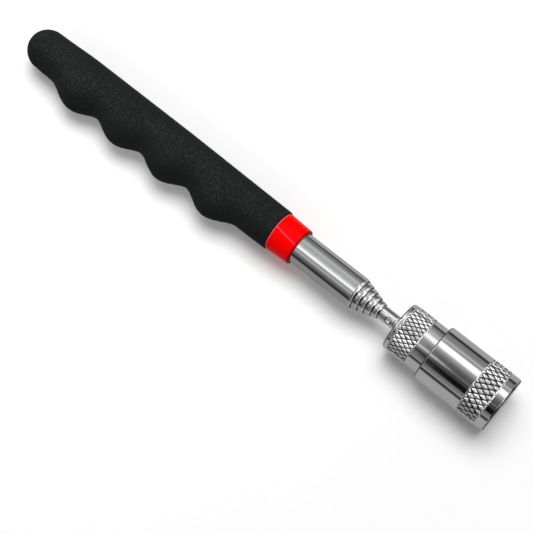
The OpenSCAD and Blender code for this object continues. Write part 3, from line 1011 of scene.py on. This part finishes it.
NECK_BANDS = [
    (-90, 0.08), (-82, 0.10), (-70, 0.21), (-55, 0.21), (-41, 0.23), (-32, 0.34), (-24, 0.66), (-15, 1.0),
    (-5, 1.1), (8, 1.05), (18, 1.1), (28, 1.3), (36, 1.1), (43, 0.66), (50, 0.40), (57, 0.25), (66, 0.14),
    (76, 0.09), (90, 0.09),
]
TUBE_BANDS = [
    (-86, 0.03), (-76, 0.06), (-68, 0.13), (-61, 0.18), (-53, 0.23), (-47, 0.40), (-42, 0.62), (-37, 0.34),
    (-29, 0.34), (-23, 0.82), (-17, 1.28), (-11, 1.15), (-4, 0.80), (3, 0.58), (14, 0.47), (21, 0.46),
    (33, 0.50), (41, 0.60), (47, 0.44), (54, 0.33), (60, 0.27), (66, 0.23), (76, 0.19), (84, 0.12), (86, 0.08),
]
CONE_BANDS = [
    (-86, 0.10), (-60, 0.25), (-30, 0.30), (-10, 0.35), (-2, 1.0), (6, 1.25), (38, 1.25), (50, 0.5), (64, 0.25),
    (76, 0.1),
]
LIP_BANDS = [
    (-86, 0.05), (-76, 0.10), (-70, 0.02), (-14, 0.02), (-8, 0.6), (0, 1.2), (40, 1.2), (52, 0.45), (66, 0.2),
    (72, 0.03),
]
KNURL_BANDS = [
    (-90, 0.45), (-60, 0.42), (-42, 0.50), (-28, 1.1), (-10, 1.5), (25, 1.6), (33, 1.2), (40, 0.3), (47, 0.3),
    (53, 1.4), (64, 1.3), (72, 0.7), (90, 0.7),
]


def band_ramp(n, position, bands):
    """Grey levels at angles in degrees; 0 is overhead and positive angles lie towards +Y."""
    ramp = n.add("ShaderNodeValToRGB", {"Fac": position})
    elements = ramp.color_ramp.elements
    while len(elements) > 1:
        elements.remove(elements[0])
    for k, (angle, level) in enumerate(bands):
        at = (angle + SPAN / 2) / SPAN
        element = elements[0] if k == 0 else elements.new(at)
        element.position = at
        element.color = grey(level / 2)
    return ramp.outputs["Color"]


def studio(n):
    """Grey bands all round the axis, for what the chrome reflects.

    Which bands count depends on how far a direction leans along the axis: straight sides reflect
    directions that lean back a little, and drawn-in mouths, knurling and lips the others.
    """
    aim = n.parts(n.add("ShaderNodeTexCoord").outputs["Generated"])
    lean = aim["X"]
    angle = n.maths("DEGREES", n.maths("ARCTAN2", aim["Y"], aim["Z"]))
    position = n.maths("MULTIPLY_ADD", angle, 1 / SPAN, 0.5)
    turned = n.maths("SUBTRACT", position, n.fade(lean, *TUBE_BENDS, 0.0, TUBE_BEND / SPAN))
    slid = n.maths("SUBTRACT", position, n.fade(lean, *CONE_BENDS, CONE_BEND / SPAN, 0.0))
    over_tube = band_ramp(n, turned, TUBE_BANDS)
    over_knurl = band_ramp(n, position, KNURL_BANDS)
    streak = n.maths("MULTIPLY", band_ramp(n, position, STREAK_BANDS), n.fade(lean, *STREAK_FADES, 1.0, 0.0))

    def change(where, a, b):
        return n.blend(n.fade(lean, *where), a, b)

    mixed = n.blend(streak, band_ramp(n, position, BODY_BANDS), grey(0.36))
    mixed = change(CAP_TO_BODY, band_ramp(n, position, CAP_BANDS), mixed)
    mixed = change(NECK_TO_CAP, band_ramp(n, position, NECK_BANDS), mixed)
    mixed = change(TUBE_TO_NECK, over_tube, mixed)
    mixed = change(BODY_TO_CONE, mixed, band_ramp(n, slid, CONE_BANDS))
    mixed = change(CONE_TO_KNURL, mixed, over_knurl)
    mixed = change(KNURL_TO_LIP, mixed, band_ramp(n, position, LIP_BANDS))
    mixed = change(TUBE_TO_KNURL, mixed, over_knurl)
    mixed = n.scale(mixed, 2.0)
    mixed = change(LIP_TO_DARK, mixed, grey(0.03))
    return change(DARK_TO_TUBE, mixed, n.scale(over_tube, 1.8))


world = bpy.data.worlds.new("studio")
bpy.context.scene.world = world
world.use_nodes = True
world.cycles.sampling_method = "NONE"
n = Nodes(world.node_tree)
path = n.add("ShaderNodeLightPath").outputs
plain = n.blend(path["Is Glossy Ray"], grey(0.27), studio(n))
shown = n.maths("MAXIMUM", path["Is Camera Ray"], path["Is Transmission Ray"])
back = n.add("ShaderNodeBackground", {"Color": n.blend(shown, plain, grey(1.0))}, values={"Strength": 1.0})
n.add("ShaderNodeOutputWorld", {"Surface": back.outputs[0]})

# ---------------------------------------------------------------- lamps

LAMP_AWAY = 2.0
LAMP_SIZE = 1.46
LAMP_ZENITH = math.radians(20)


def hang(obj, target, toward, away):
    """Sets a lamp at a distance from the target, aimed at it and not seen in reflections."""
    obj.location = Vector(target) + toward * away
    obj.rotation_euler = toward.to_track_quat("Z", "Y").to_euler()
    obj.visible_glossy = False


def area_lamp(name, around, power):
    """Round area lamp aimed at the middle of the tool; around is 0 along +Y and grows towards +X."""
    data = bpy.data.lights.new(name, "AREA")
    data.shape = "DISK"
    data.size = LAMP_SIZE
    data.energy = power
    a = math.radians(around)
    flat = math.sin(LAMP_ZENITH)
    toward = Vector((flat * math.sin(a), flat * math.cos(a), math.cos(LAMP_ZENITH)))
    hang(link_object(name, data), (0, 0, 0), toward, LAMP_AWAY)


def fill_lamp():
    """Narrow soft lamp on the finger side, which opens up the grip's shadow."""
    data = bpy.data.lights.new("fill", "SPOT")
    data.energy = 16.0
    data.spot_size = math.radians(8.6)
    data.spot_blend = 0.5
    data.shadow_soft_size = 0.08
    hang(link_object("fill", data), place(47, 0, 0), Vector((-0.12, -0.70, 0.70)).normalized(), 1.0)


area_lamp("key", 0, 19.4)
area_lamp("second", -45, 15.9)
fill_lamp()

# ---------------------------------------------------------------- camera

FOCAL = 1200.0
FRAME = 533.0
SENSOR = 36.0
RISE = math.radians(14)
HEADING = math.radians(38.5)
LEAN = math.radians(12)
FRONT = Vector((69.14, 40.97, 352.21)) * MM


def make_camera():
    """Camera over the middle of the tool, leaning a little towards the finger side.

    RISE and HEADING turn the tool's axis in the picture, LEAN turns it about that axis, and FRONT is where
    the middle of its front face lies: to the right, down and ahead of the camera.
    """
    tool = Vector((math.cos(RISE) * math.cos(HEADING), math.cos(RISE) * math.sin(HEADING), -math.sin(RISE)))
    up0 = Vector((-math.sin(RISE) * math.cos(HEADING), -math.sin(RISE) * math.sin(HEADING), -math.cos(RISE)))
    side0 = Vector((math.sin(HEADING), -math.cos(HEADING), 0))
    up = up0 * math.cos(LEAN) + side0 * math.sin(LEAN)
    side = side0 * math.cos(LEAN) - up0 * math.sin(LEAN)
    right, down, ahead = (Vector((tool[k], side[k], up[k])) for k in range(3))
    where = Vector(place(TIP_X, 0, 0)) - Vector((FRONT.dot(tool), FRONT.dot(side), FRONT.dot(up)))
    turn = Matrix((right, -down, -ahead)).transposed()
    data = bpy.data.cameras.new("camera")
    data.sensor_fit = "HORIZONTAL"
    data.sensor_width = SENSOR
    data.lens = SENSOR * FOCAL / FRAME
    data.clip_start = 0.01
    data.clip_end = 50.0
    cam = link_object("camera", data)
    cam.matrix_world = Matrix.Translation(where) @ turn.to_4x4()
    bpy.context.scene.camera = cam


make_camera()

bpy.context.scene.view_settings.view_transform = "Standard"
